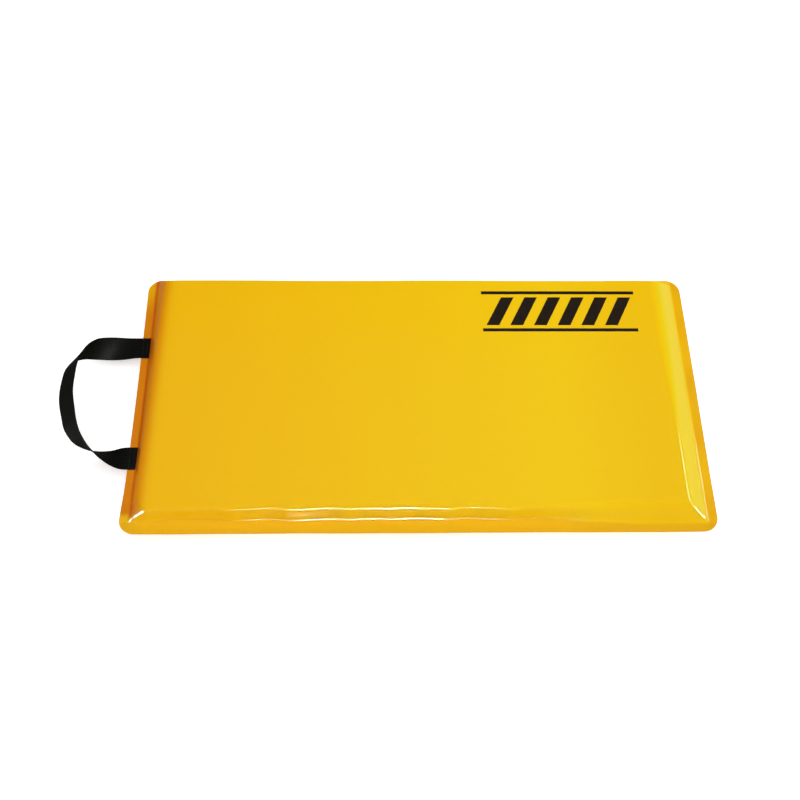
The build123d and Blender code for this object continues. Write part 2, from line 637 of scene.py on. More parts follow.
@dataclass(frozen=True)
class PadShape:
    """The outer surface of the pad, as a height over its mid plane at any place in plan.

    Four sloping walls and a flat face meet in rounded shoulders and crisp hips, and run out into the
    welded flange. The sheet is stretched over the foam, so its walls have shallow buckles.
    """

    length: float = 600.0
    width: float = 300.0
    foam: float = 30.0
    sheet: float = 0.6
    corner: float = 15.0
    left: Side = Side(9.5, 8.8, 3.0, 2.6)
    right: Side = Side(10.0, 20.0, 2.2, 1.4)
    front: Side = Side(15.5, 3.6, 6.5, 6.5)
    rear: Side = Side(6.0, 3.5, 3.0, 2.0)
    left_fan: float = 2.2
    left_flange_fan: float = 0.5
    front_left_flange: float = 12.3
    front_right_flange: float = 10.0
    front_left_run: float = 5.4
    front_right_run: float = 13.6
    front_set_back: float = 0.5
    end_crease_cut: float = 2.5
    far_shoulder: float = 7.0
    hip: float = 2.4
    round_hip: float = 0.35
    hip_cap: float = 1.3
    corner_run: float = 8.5
    corner_shoulder: float = 11.0
    wall_blend: float = 2.0
    crown: float = 0.5
    ripple_edge: float = 4.0
    roll_off: float = 1.3
    roll_off_length: float = 6.0
    left_bow: float = 1.4
    corner_flare: float = 1.2
    buckles: tuple[tuple[float, float, float, float], ...] = (
        (-195.0, 4.0, 26.0, 1.6),
        (-133.0, 4.0, 28.0, 1.8),
        (-71.0, 9.0, 8.0, 1.2),
        (-29.0, 12.0, 7.0, 1.0),
        (31.0, 16.0, 4.0, 1.6),
        (93.0, 22.0, 4.0, 1.6),
        (172.0, 14.0, 5.0, 0.8),
        (215.0, 6.0, 12.0, 0.7),
    )
    tab_middle: float = -3.65
    tab_calm: float = 100.0
    buckle_ends: Fade = Fade(30.0, 40.0)
    handle_end: Fade = Fade(60.0, 45.0)
    far_end: Fade = Fade(200.0, 130.0)
    front_corner: Fade = Fade(35.0, 25.0)
    far_shoulder_rear: Fade = Fade(-40.0, 120.0)
    round_hip_end: Fade = Fade(100.0, 60.0)
    round_hip_front: Fade = Fade(-60.0, 50.0)
    flange_droop: Fade = Fade(12.0, 9.0)
    bow_edge: Fade = Fade(12.0, 12.0)
    flare_front: Fade = Fade(60.0, 60.0)
    crinkle: Ripple = Ripple(0.12, 4.6)
    crinkle_patches: Ripple = Ripple(1.0, 37.0)
    front_ripple: Ripple = Ripple(0.15, 9.7, 1.0)
    left_ripple: Ripple = Ripple(0.2, 23.0)
    right_ripple: Ripple = Ripple(0.25, 31.0, 1.0)
    rear_ripple: Ripple = Ripple(0.25, 41.0, 0.7)
    long_waves: tuple[Ripple, Ripple] = (Ripple(0.42, 37.0, 1.1), Ripple(0.21, 13.0, 2.0))
    short_waves: tuple[Ripple, Ripple] = (Ripple(0.3, 33.0, 0.6), Ripple(0.15, 12.0))

    @property
    def mid_level(self) -> float:
        """Level of the weld between the two sheets."""
        return self.sheet + self.foam / 2

    def buckle(self, x: np.ndarray) -> np.ndarray:
        """How far the front wall leans out along it.

        Args:
            x: Places along the pad.

        Returns:
            The sum of the buckles; each has its place, its length to either side and its depth.
        """
        patches = bump_at(self.crinkle_patches.at(x), middle=0.7, spread=0.4)
        lean = self.crinkle.at(x) * patches + self.front_ripple.at(x)
        for place, before, after, depth in self.buckles:
            spread = np.where(x < place, before, after)
            lean = lean + depth * bump_at(x, place, spread)
        return lean * self.buckle_ends.past(self.length / 2 - np.abs(x)) - self.front_set_back

    def end_shares(self, x: np.ndarray) -> tuple[np.ndarray, np.ndarray]:
        """How far the front wall has eased into its handle end, and into its far end."""
        half_x = self.length / 2
        return self.handle_end.near(half_x + x), self.far_end.near(half_x - x)

    def corner_share(self, y: np.ndarray) -> np.ndarray:
        """How far the left wall has eased into its front end, where its shoulder fades."""
        return self.front_corner.near(self.width / 2 + y)

    def slopes(self, x: np.ndarray, y: np.ndarray, half: Half) -> list[np.ndarray]:
        """Height over the flange of each wall's plane.

        Args:
            x: Places along the pad.
            y: Places across the pad.
            half: Which sheet; only the upper one has buckles.

        Returns:
            Heights of the left, right, front and rear plane, below zero on the flange.
        """
        half_x, half_y = self.length / 2, self.width / 2
        lean = self.buckle(x) if half is Half.UPPER else np.zeros_like(x)
        near_end, far_end = self.end_shares(x)
        front_flange = (
            self.front.flange
            + (self.front_left_flange - self.front.flange) * near_end
            + (self.front_right_flange - self.front.flange) * far_end
        )
        front_run = (
            self.front.run
            + (self.front_left_run - self.front.run) * near_end
            + (self.front_right_run - self.front.run) * far_end
        )
        left_flange = self.left.flange + self.left_flange_fan * y / half_y
        left_run = self.left.run + self.left_fan * y / half_y + self.corner_run * self.corner_share(y)
        planes = (
            (half_x + x + self.left_ripple.at(y), left_flange, left_run),
            (half_x - x + self.right_ripple.at(y), self.right.flange, self.right.run),
            (half_y + y + lean, front_flange, front_run),
            (half_y - y + self.rear_ripple.at(x), self.rear.flange, self.rear.run),
        )
        return [(inset - flange) * self.foam / 2 / run for inset, flange, run in planes]

    def height(self, x: np.ndarray, y: np.ndarray, half: Half) -> np.ndarray:
        """Height of the outer surface over the mid plane.

        Args:
            x: Places along the pad.
            y: Places across the pad.
            half: Which sheet; the lower one is pressed flat by the floor.

        Returns:
            Distance from the mid plane, always positive.
        """
        rise = self.foam / 2
        ends = np.maximum(*self.end_shares(x))
        rear_share = self.far_shoulder_rear.past(y)
        shoulders = (
            self.left.shoulder + self.corner_shoulder * self.corner_share(y),
            self.right.shoulder + (self.far_shoulder - self.right.shoulder) * rear_share,
            self.front.shoulder,
            self.rear.shoulder,
        )
        front_crease = self.front.crease - self.end_crease_cut * ends
        creases = (self.left.crease, self.right.crease, front_crease, self.rear.crease)
        slopes = self.slopes(x, y, half)
        left, right, front, rear = slopes
        rounding = self.round_hip_end.near(self.length / 2 + x) * self.round_hip_front.near(y)
        on_hip = np.clip(np.minimum(left, front), 0.0, self.hip_cap * rise)
        hip = self.hip + self.round_hip * rounding * on_hip
        walls = soft_min(soft_min(left, right, self.hip), soft_min(front, rear, self.hip), hip)
        near = [np.exp(-np.maximum(slope - walls, 0.0) / self.wall_blend) for slope in slopes]
        shoulder = sum(n * k for n, k in zip(near, shoulders)) / sum(near)
        crease = sum(n * k for n, k in zip(near, creases)) / sum(near)
        face = np.full_like(x, rise)
        if half is Half.UPPER:
            middle = (1 - (2 * x / self.length) ** 2) * (1 - (2 * y / self.width) ** 2)
            edge = np.maximum(left / rise - 1, 0.0) * self.left.run
            face += self.crown * middle
            face += self.face_ripple(x, y) * np.clip(middle * self.ripple_edge, 0, 1)
            face -= self.roll_off * np.exp(-edge / self.roll_off_length)
        return soft_max(soft_min(walls, face, shoulder), np.zeros_like(x), crease) + self.sheet

    def face_ripple(self, x: np.ndarray, y: np.ndarray) -> np.ndarray:
        """Three waves that cross on the flat face, each at most a tenth of a millimetre deep.

        Args:
            x: Places along X in millimetres.
            y: Places along Y in millimetres.

        Returns:
            How far the face rises at each place, in millimetres.
        """
        long_wave = 0.08 * np.sin(x / 53.0 - y / 41.0 + 2.0)
        middle_wave = 0.10 * np.sin(x / 29.0 + y / 95.0)
        short_wave = 0.04 * np.sin(x / 17.0 + 0.5 * np.sin(y / 50.0))
        return long_wave + middle_wave + short_wave

    def flange_wave(self, x: np.ndarray, y: np.ndarray) -> np.ndarray:
        """How far the flange hangs down or lifts, which both sheets share.

        Args:
            x: Places along the pad.
            y: Places across the pad.

        Returns:
            The distance up, the same for both sheets.
        """
        long_sides = self.flange_droop.near(self.width / 2 - np.abs(y))
        short_sides = self.flange_droop.near(self.length / 2 - np.abs(x))
        along_x = sum(wave.at(x, np.sign(y)) for wave in self.long_waves)
        along_y = sum(wave.at(y) for wave in self.short_waves)
        calm = 1 - bump_at(y, self.tab_middle, self.tab_calm) * (x < 0)
        return long_sides * along_x + short_sides * along_y * calm

    def round_corner(self, x: np.ndarray, y: np.ndarray) -> tuple[np.ndarray, np.ndarray]:
        """Moves the points of a rectangle's corners in, so that its outline has round corners.

        Args:
            x: Places along the pad.
            y: Places across the pad.

        Returns:
            The new places along and across the pad.
        """
        inner_x = self.length / 2 - self.corner
        inner_y = self.width / 2 - self.corner
        u = np.clip((np.abs(x) - inner_x) / self.corner, 0, None)
        v = np.clip((np.abs(y) - inner_y) / self.corner, 0, None)
        rounded_x = np.minimum(np.abs(x), inner_x) + self.corner * u * np.sqrt(1 - v * v / 2)
        rounded_y = np.minimum(np.abs(y), inner_y) + self.corner * v * np.sqrt(1 - u * u / 2)
        return np.sign(x) * rounded_x, np.sign(y) * rounded_y

    def bowed(self, x: np.ndarray, y: np.ndarray) -> np.ndarray:
        """Draws the left flange in towards its middle, where the handle was sewn.

        Args:
            x: Places along the pad.
            y: Places across the pad.

        Returns:
            The new places along the pad.
        """
        share = self.bow_edge.near(self.length / 2 + x)
        flare = self.corner_flare * self.flare_front.near(self.width / 2 + y)
        return x + share * (self.left_bow * (1 - (2 * y / self.width) ** 2) - flare)


@dataclass(frozen=True)
class PaintedLightMarks:
    """Where the sheet's colour is painted: painted shade and a painted reflection, and a deeper orange
    on the far flange.
    """

    shape: PadShape
    # Painted reflection: where the long right slope takes its lemon colour.
    hip_edge: Fade = Fade(0.0, 1.5)
    slope_foot: Fade = Fade(0.0, 1.2)
    slope_top: Fade = Fade(4.0, 5.0)
    # Painted shade on the front flange, and in uneven patches on the right flange.
    front_shade: float = 0.9
    front_shade_edge: Fade = Fade(0.0, 4.0)
    side_shade: float = 0.5
    side_shade_edge: Fade = Fade(0.0, 0.6)
    side_shade_spots: Ripple = Ripple(0.35, 15.0, 1.0)
    side_shade_patches: Ripple = Ripple(1.0, 38.0, 0.4)
    # Painted shade beside the handle: the groove, the left wall and the left flange, which the key
    # light leaves in shade.
    groove_inset: float = 1.2
    groove_width: float = 2.2
    groove_shade: float = 0.3
    groove_front: Fade = Fade(12.0, 6.0)
    wall_shade: float = 0.6
    wall_edge: Fade = Fade(13.5, 17.0)
    wall_front: Fade = Fade(14.0, 7.0)
    left_flange_shade: float = 0.6
    flange_edge: Fade = Fade(-1.5, 3.0)
    flange_front: Fade = Fade(17.0, 6.0)
    flange_rear: Fade = Fade(50.0, 40.0)
    flange_rear_cut: float = 0.8
    # A deeper orange along the far end's flange.
    far_flange_orange: float = 0.1
    far_edge: Fade = Fade(12.0, 4.0)
    # Painted shade on the flange's cut edge.
    cut_edge_shade: float = 0.3
    cut_edge: Fade = Fade(0.5, 0.5)

    def stretch(self, x: np.ndarray, y: np.ndarray) -> np.ndarray:
        """How much painted reflection the long right slope takes: all of it there, and none elsewhere.

        Args:
            x: Places along the pad.
            y: Places across the pad.

        Returns:
            The share of the painted reflection's lemon colour, from 0 to 1.
        """
        _, right, front, rear = self.shape.slopes(x, y, Half.UPPER)
        own = self.hip_edge.past(front - right) * self.hip_edge.past(rear - right)
        return own * self.slope_foot.past(right) * self.slope_top.near(right - self.shape.foam / 2)

    def flange_shade_share(self, x: np.ndarray, y: np.ndarray) -> np.ndarray:
        """How much painted shade turns the flange a duller gold, most along its front.

        Args:
            x: Places along the pad.
            y: Places across the pad.

        Returns:
            The share of the pressed sheet's colour, from 0 to 1.
        """
        _, right, front, _ = self.shape.slopes(x, y, Half.UPPER)
        uneven = self.side_shade + self.side_shade_spots.at(y) * self.side_shade_patches.at(y)
        front_share = self.front_shade * self.front_shade_edge.near(front)
        return np.maximum(front_share, uneven * self.side_shade_edge.near(right))

    def shade_share(self, x: np.ndarray, y: np.ndarray) -> np.ndarray:
        """How much painted shade deepens the colour to orange: most beside the handle, on the wall,
        flange and groove that the key light leaves in shade.

        Args:
            x: Places along the pad.
            y: Places across the pad.

        Returns:
            The share of the welded sheet's colour, from 0 to 1.
        """
        shape = self.shape
        half_x, half_y = shape.length / 2, shape.width / 2
        from_front, from_rear = half_y + y, half_y - y
        groove_at = shape.left.flange - half_x + self.groove_inset
        shoulder_at = groove_at + shape.left.run + shape.left_fan * y / half_y
        on_flange = self.flange_edge.near(x - groove_at)
        wall = (1 - on_flange) * self.wall_edge.near(x - shoulder_at) * self.wall_front.past(from_front)
        flange = on_flange * self.flange_front.past(from_front)
        flange *= 1 - self.flange_rear_cut * self.flange_rear.near(from_rear)
        groove = bump_at(x, groove_at, self.groove_width) * self.groove_front.past(from_front)
        inset = np.minimum(half_x - np.abs(x), half_y - np.abs(y))
        # Painted shade on the left wall, left flange, groove and cut edge, and a deeper orange along
        # the far flange.
        shares = (
            (self.wall_shade, wall),
            (self.left_flange_shade, flange),
            (self.groove_shade, groove),
            (self.far_flange_orange, self.far_edge.near(half_x - x)),
            (self.cut_edge_shade, self.cut_edge.near(inset)),
        )
        return np.clip(sum(most * share for most, share in shares), 0, 1)


def graded(stops: Sequence[tuple[float, float]], start: float) -> np.ndarray:
    """Places along one axis, with a spacing of their own in each stretch.

    Args:
        stops: The end of each stretch and the largest spacing in it.
        start: Where the first stretch begins.

    Returns:
        The places in rising order.
    """
    places = [start]
    for end, spacing in stops:
        count = max(1, math.ceil((end - places[-1]) / spacing))
        places.extend(np.linspace(places[-1], end, count + 1)[1:])
    return np.array(places)


@dataclass
class VinylEnvelope:
    """The two vinyl sheets, welded together round their flange."""

    shape: PadShape = field(default_factory=PadShape)
    vinyl: CalenderedVinyl = field(default_factory=CalenderedVinyl)
    weld_gap: float = 0.02

    def lines(self) -> tuple[np.ndarray, np.ndarray]:
        """Grid lines along X and Y: close at the flange, walls and shoulders, wide on the flat face.

        Returns:
            The lines' places along X and along Y, in millimetres.
        """
        half_x, half_y = self.shape.length / 2, self.shape.width / 2
        x = graded(
            [
                (-half_x + 7, 1.0),
                (-half_x + 13, 0.4),
                (-half_x + 28, 0.6),
                (-half_x + 96, 4.5),
                (-half_x + 400, 2.4),
                (half_x - 44, 4.5),
                (half_x - 13, 0.8),
                (half_x - 7, 0.4),
                (half_x, 1.0),
            ],
            -half_x,
        )
        y = graded(
            [
                (-half_y + 9, 1.0),
                (-half_y + 26, 0.4),
                (half_y - 14, 5.5),
                (half_y - 3, 0.5),
                (half_y, 1.0),
            ],
            -half_y,
        )
        return x, y

    def sheet(self, name: str, half: Half) -> bpy.types.Object:
        """Builds one sheet as a closed shell of the sheet's thickness.

        Args:
            name: The piece's name.
            half: Which sheet.

        Returns:
            The sheet, with its colour layers and without a material.
        """
        lines_x, lines_y = self.lines()
        flat_x, flat_y = np.meshgrid(lines_x, lines_y)
        x, y = self.shape.round_corner(flat_x, flat_y)
        x = self.shape.bowed(x, y)
        height = self.shape.height(x, y, half)
        z = self.shape.mid_level + half.value * height + self.shape.flange_wave(x, y)
        points = np.stack([x, y, z], axis=-1).reshape(-1, 3)
        faces = grid_faces(len(lines_y), len(lines_x))
        if half is Half.LOWER:
            faces = [face[::-1] for face in faces]
        piece = mesh_piece(name, points, faces)
        marks = PaintedLightMarks(self.shape)
        # Painted shade and a painted reflection, kept as colour layers on the sheet.
        layers = {
            "painted_shade": marks.shade_share(x, y),
            "flange_painted_shade": marks.flange_shade_share(x, y),
            "slope_painted_reflection": marks.stretch(x, y),
        }
        for layer, share in layers.items():
            attribute = piece.data.attributes.new(layer, "FLOAT", "POINT")
            attribute.data.foreach_set("value", share.ravel().astype(np.float32))
        shell = piece.modifiers.new("sheet_thickness", "SOLIDIFY")
        shell.thickness = (self.shape.sheet - self.weld_gap) * MM
        shell.offset = -1.0
        return settled(piece)

    def build(self) -> list[bpy.types.Object]:
        """Makes both sheets and ties them to the pad.

        Returns:
            The top sheet and the bottom sheet.
        """
        material = self.vinyl.material()
        made = []
        for node, half in (("top_cover", Half.UPPER), ("bottom_cover", Half.LOWER)):
            piece = self.sheet(f"{node}_sheet", half)
            dress(piece, material)
            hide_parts(node)
            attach(piece, "pad")
            made.append(piece)
        return made


@dataclass
class FoamSlab:
    """The closed-cell slab inside the sheets."""

    shape: PadShape = field(default_factory=PadShape)
    foam: CrosslinkedFoam = field(default_factory=CrosslinkedFoam)
    clearance: float = 0.9
    front_clearance: float = 2.2
    thinnest: float = 0.1
    end_band: float = 30.0
    side_band: float = 25.0
    end_inset: float = 2.0
    rear_reach: float = 3.0
    fine: float = 1.5
    coarse: float = 12.0

    def inner_shape(self) -> PadShape:
        """The pad's shape with its walls moved in, further at the front to clear the buckles.

        Returns:
            The shape that the slab fills.
        """
        outer = self.shape
        return replace(
            outer,
            left=replace(outer.left, flange=outer.left.flange + self.clearance),
            right=replace(outer.right, flange=outer.right.flange + self.clearance),
            rear=replace(outer.rear, flange=outer.rear.flange + self.clearance),
            front=replace(outer.front, flange=outer.front.flange + self.front_clearance),
            front_left_flange=outer.front_left_flange + self.front_clearance,
            front_right_flange=outer.front_right_flange + self.front_clearance,
            buckles=(),
        )

    def lines(self) -> tuple[np.ndarray, np.ndarray]:
        """Grid lines along X and Y, close at the walls and wide under the flat face.

        Returns:
            The lines' places along X and along Y, in millimetres.
        """
        low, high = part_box("foam_core")
        left, right, front, rear = low.x / MM, high.x / MM, low.y / MM, high.y / MM
        x = graded(
            [
                (left + self.end_band, self.fine),
                (right - self.end_band, self.coarse),
                (right - self.end_inset, self.fine),
            ],
            left + self.end_inset,
        )
        y = graded(
            [
                (front + self.side_band, self.fine),
                (rear - self.side_band, self.coarse),
                (rear + self.rear_reach, self.fine),
            ],
            front + self.end_inset,
        )
        return x, y

    def build(self) -> bpy.types.Object:
        """Makes the slab a little inside the sheets all round.

        Returns:
            The slab.
        """
        inner = self.inner_shape()
        x, y = np.meshgrid(*self.lines())
        layers = []
        for half in Half:
            height = np.maximum(inner.height(x, y, half) - inner.sheet - self.clearance, self.thinnest)
            z = inner.mid_level + half.value * height
            layers.append(np.stack([x, y, z], axis=-1).reshape(-1, 3))
        piece = mesh_piece("foam_slab", np.concatenate(layers), slab_faces(*x.shape))
        dress(piece, self.foam.material())
        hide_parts("foam_core")
        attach(piece, "pad")
        return piece


@dataclass
class WarningBars:
    """A generic printed mark: leaning bars between two rules, lying on the stretched sheet."""

    shape: PadShape = field(default_factory=PadShape)
    ink: ScreenInk = field(default_factory=ScreenInk)
    rule: float = 4.0
    rule_gap: float = 4.0
    bar_width: float = 14.0
    bar_pitch: float = 26.0
    lean: float = 18.0
    film: float = 0.05
    spacing: float = 2.0

    def patch(self, corners: Sequence[tuple[float, float]]) -> tuple[np.ndarray, list[tuple[int, ...]]]:
        """One printed area between four corners, as a closed film that follows the sheet.

        Args:
            corners: Near left, near right, far right and far left corner in plan.

        Returns:
            Points and faces of the film.
        """
        a, b, c, d = (np.array(corner, float) for corner in corners)
        columns = max(2, int(np.linalg.norm(b - a) / self.spacing) + 2)
        rows = max(2, int(np.linalg.norm(d - a) / self.spacing) + 2)
        u, v = np.meshgrid(np.linspace(0, 1, columns), np.linspace(0, 1, rows))
        plan = (
            (1 - u)[..., None] * (1 - v)[..., None] * a
            + u[..., None] * (1 - v)[..., None] * b
            + u[..., None] * v[..., None] * c
            + (1 - u)[..., None] * v[..., None] * d
        )
        x, y = plan[..., 0], plan[..., 1]
        base = self.shape.mid_level + self.shape.height(x, y, Half.UPPER)
        top = np.stack([x, y, base + self.film], axis=-1).reshape(-1, 3)
        low = np.stack([x, y, base - self.film], axis=-1).reshape(-1, 3)
        return np.concatenate([top, low]), slab_faces(rows, columns)

    def areas(self) -> list[list[tuple[float, float]]]:
        """Corners of every bar and rule, placed in the box of the CAD mark.

        Returns:
            One list of corners in millimetres for each bar and rule.
        """
        low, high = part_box("printed_mark")
        x0, x1, y0, y1 = low.x / MM, high.x / MM, low.y / MM, high.y / MM
        bar_low, bar_high = y0 + self.rule + self.rule_gap, y1 - self.rule - self.rule_gap
        count = int((x1 - x0 - self.bar_width - self.lean) / self.bar_pitch) + 1
        first = (x0 + x1) / 2 - self.bar_pitch * (count - 1) / 2
        found = []
        for step in range(count):
            near = first + self.bar_pitch * step - self.lean / 2
            far = near + self.lean
            half = self.bar_width / 2
            near_side = [(near - half, bar_low), (near + half, bar_low)]
            far_side = [(far + half, bar_high), (far - half, bar_high)]
            found.append(near_side + far_side)
        for start in (y0, y1 - self.rule):
            found.append([(x0, start), (x1, start), (x1, start + self.rule), (x0, start + self.rule)])
        return found

    def build(self) -> bpy.types.Object:
        """Makes the whole mark as one piece.

        Returns:
            The mark.
        """
        points, faces, count = [], [], 0
        for corners in self.areas():
            more, more_faces = self.patch(corners)
            points.append(more)
            faces.extend(tuple(v + count for v in face) for face in more_faces)
            count += len(more)
        piece = mesh_piece("printed_warning_bars", np.concatenate(points), faces, sharp_deg=40.0)
        dress(piece, self.ink.material())
        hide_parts("printed_mark")
        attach(piece, "pad")
        return piece


# ---------------------------------------------------------------------------------------------------
# The handle
# ---------------------------------------------------------------------------------------------------


@dataclass
class WebbingHandle:
    """One continuous strap: sewn flat to the flange at both ends, rolled up on edge in its arch."""

    width: float = 25.0
    thickness: float = 1.3
    reach: float = 63.0
    rise: float = 27.4
    tab_spacing: float = 130.5
    offset: float = -3.65
    fold_gap: float = 0.8
    warp_cords: int = 11
    pick_pitch: float = 2.3
    relief: float = 0.16
    dip: float = 0.35
    rib_roundness: float = 0.6
    row_spacing: float = 0.46
    columns: int = 56
    selvedge: float = 0.55
    dense_steps: int = 4000
    smoothing: int = 60
    bend_starts_inside: float = 1.0
    bend_ends_outside: float = 5.0
    stations: tuple[tuple[float, float, float, float], ...] = (
        (0.0, 1.0, 0.0, 0.0),
        (0.27, 0.995, -0.03, 12.0),
        (0.484, 0.983, 0.02, 32.0),
        (0.678, 0.937, 0.193, 57.0),
        (0.83, 0.839, 0.44, 93.0),
        (0.934, 0.683, 0.69, 121.0),
        (0.987, 0.487, 0.872, 133.0),
        (1.0, 0.22, 0.97, 137.5),
        (0.987, -0.1, 1.0, 138.0),
        (0.92, -0.384, 0.96, 136.0),
        (0.861, -0.592, 0.88, 132.0),
        (0.761, -0.772, 0.708, 116.0),
        (0.6125, -0.893, 0.474, 89.0),
        (0.436, -0.965, 0.245, 62.0),
        (0.248, -0.997, 0.07, 32.0),
        (0.05, -1.0, 0.0, 2.0),
        (0.0, -1.0, 0.0, 0.0),
    )
    webbing: WovenPolypropylene = field(default_factory=WovenPolypropylene)

    def route(self) -> tuple[np.ndarray, np.ndarray]:
        """Middle line and roll of the strap at even steps, from its rear end to its front end.

        Returns:
            Points in millimetres, and the roll at each in radians.
        """
        tab_low, tab_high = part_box("handle_rear_tab")
        level = (tab_low.z + tab_high.z) / 2 / MM
        root = tab_low.x / MM - self.fold_gap
        inner = tab_high.x / MM
        half_spacing = self.tab_spacing / 2
        loop = [
            (root - self.reach * out, self.offset + half_spacing * across, level + self.rise * up, roll)
            for out, across, up, roll in self.stations
        ]
        rear = [(x, loop[0][1], level, 0.0) for x in np.linspace(inner, root, 5)[:-1]]
        front = [(x, loop[-1][1], level, 0.0) for x in np.linspace(root, inner, 5)[1:]]
        knots = np.array(rear + loop + front)
        return self.even(knots)

    def even(self, knots: np.ndarray) -> tuple[np.ndarray, np.ndarray]:
        """Runs a smooth line through the knots and steps along it evenly.

        Args:
            knots: One row of x, y, z and roll in degrees for each knot.

        Returns:
            Points in millimetres, and the roll at each in radians.
        """
        chord = np.linalg.norm(np.diff(knots[:, :3], axis=0), axis=1)
        at = np.concatenate([[0], np.cumsum(chord)])
        slope = np.gradient(knots, at, axis=0)
        dense_at = np.linspace(0, at[-1], self.dense_steps)
        index = np.clip(np.searchsorted(at, dense_at, side="right") - 1, 0, len(at) - 2)
        span = (at[index + 1] - at[index])[:, None]
        t = (dense_at - at[index])[:, None] / span
        dense = (
            (2 * t**3 - 3 * t**2 + 1) * knots[index]
            + (t**3 - 2 * t**2 + t) * span * slope[index]
            + (-2 * t**3 + 3 * t**2) * knots[index + 1]
            + (t**3 - t**2) * span * slope[index + 1]
        )
        ends = self.smoothing
        kernel = np.hanning(2 * ends + 1)
        kernel /= kernel.sum()
        padded = np.concatenate([np.repeat(dense[:1], ends, 0), dense, np.repeat(dense[-1:], ends, 0)])
        smooth = np.stack([np.convolve(padded[:, k], kernel, "valid") for k in range(4)], axis=1)
        smooth[:ends] = dense[:ends]
        smooth[-ends:] = dense[-ends:]
        gaps = np.linalg.norm(np.diff(smooth[:, :3], axis=0), axis=1)
        length = np.concatenate([[0], np.cumsum(gaps)])
        count = int(length[-1] / self.row_spacing)
        steps = np.linspace(0, length[-1], count)
        line = np.stack([np.interp(steps, length, smooth[:, k]) for k in range(3)], axis=1)
        return line, np.radians(np.interp(steps, length, smooth[:, 3]))

    def section(self, along: float) -> tuple[np.ndarray, np.ndarray, np.ndarray]:
        """Outline of the strap across its run, with the weave's relief.

        Args:
            along: Distance along the strap.

        Returns:
            Place across the strap, place through it, and the relief from 0 to 1 at each point.
        """
        share = np.linspace(-1, 1, self.columns)
        across = share * self.width / 2
        past = np.clip((np.abs(across) - self.width / 2 + self.selvedge) / self.selvedge, 0, 1)
        edge = np.sqrt(np.clip(1 - past**2, 0, 1))
        cord = (share + 1) / 2 * self.warp_cords
        parity = np.floor(np.clip(cord, 0, self.warp_cords - 1e-6)) % 2
        rib = np.abs(np.sin(np.pi * cord)) ** self.rib_roundness
        wave = 0.5 + 0.5 * np.cos(2 * np.pi * along / self.pick_pitch + np.pi * parity)
        face = rib * (self.dip + (1 - self.dip) * wave)
        back = rib * (self.dip + (1 - self.dip) * (1 - wave))
        half = self.thickness / 2 - self.relief
        top = edge * (half + self.relief * face)
        low = -edge * (half + self.relief * back)
        outline_across = np.concatenate([across, across[::-1][1:-1]])
        outline_through = np.concatenate([top, low[::-1][1:-1]])
        relief = np.concatenate([face, back[::-1][1:-1]])
        return outline_across, outline_through, relief

    def build(self) -> bpy.types.Object:
        """Makes the woven strap, bending at the flange's edge.

        Returns:
            The strap.
        """
        line, roll = self.route()
        run = np.gradient(line, axis=0)
        run /= np.linalg.norm(run, axis=1)[:, None]
        side = np.cross(np.array([0.0, 0.0, 1.0]), run)
        side /= np.linalg.norm(side, axis=1)[:, None]
        up = np.cross(run, side)
        wide = up * np.sin(roll)[:, None] - side * np.cos(roll)[:, None]
        thick = np.cross(wide, run)
        gaps = np.linalg.norm(np.diff(line, axis=0), axis=1)
        steps = np.concatenate([[0], np.cumsum(gaps)])
        points, relief = [], []
        for centre, across_way, through_way, along in zip(line, wide, thick, steps):
            across, through, height = self.section(along)
            points.append(centre + across[:, None] * across_way + through[:, None] * through_way)
            relief.append(height)
        columns = len(relief[0])
        rows = len(points)
        faces = grid_faces(rows, columns, ring=True)
        caps = [tuple(range(columns))[::-1], tuple(range((rows - 1) * columns, rows * columns))]
        piece = mesh_piece("webbing_handle", np.concatenate(points), faces + caps)
        attribute = piece.data.attributes.new("yarn_height", "FLOAT", "POINT")
        attribute.data.foreach_set("value", np.concatenate(relief).astype(np.float32))
        log.info("strap length %.1f mm", steps[-1])
        dress(piece, self.webbing.material())
        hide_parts("handle_loop", "handle_rear_tab", "handle_front_tab")
        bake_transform(piece)
        return piece


@dataclass
class TackStitches:
    """The thread that holds the strap's two ends, kept as the CAD made it."""

    thread: BondedThread = field(default_factory=BondedThread)

    def build(self) -> list[bpy.types.Object]:
        """Gives the stitches their thread finish.

        Returns:
            The two tacks.
        """
        material = self.thread.material()
        made = [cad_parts[name] for name in ("rear_tack_stitches", "front_tack_stitches")]
        for piece in made:
            dress(piece, material)
        return made


# ---------------------------------------------------------------------------------------------------
# The studio
# ---------------------------------------------------------------------------------------------------


class Reach(Enum):
    """Which part of the light a lamp gives."""

    FULL = "full"
    SHADE_ONLY = "shade"
    MIRROR_ONLY = "mirror"


@dataclass
class Softbox:
    """One rectangular lamp, aimed at the pad. Places and sizes are in metres, the power in watts."""

    name: str
    place: tuple[float, float, float]
    size: tuple[float, float]
    power: float
    reach: Reach = Reach.FULL
    aim: tuple[float, float, float] = (0.0, 0.0, 0.03)

    def build(self) -> bpy.types.Object:
        """Makes the lamp, unseen by the camera itself.

        Returns:
            The lamp.
        """
        data = bpy.data.lights.new(self.name, "AREA")
        data.shape = "RECTANGLE"
        data.size, data.size_y = self.size
        data.energy = self.power
        lamp = bpy.data.objects.new(self.name, data)
        bpy.context.scene.collection.objects.link(lamp)
        lamp.location = self.place
        way = Vector(self.aim) - Vector(self.place)
        lamp.rotation_euler = way.to_track_quat("-Z", "Y").to_euler()
        lamp.visible_camera = False
        lamp.visible_glossy = self.reach is not Reach.SHADE_ONLY
        lamp.visible_diffuse = self.reach is not Reach.MIRROR_ONLY
        return lamp


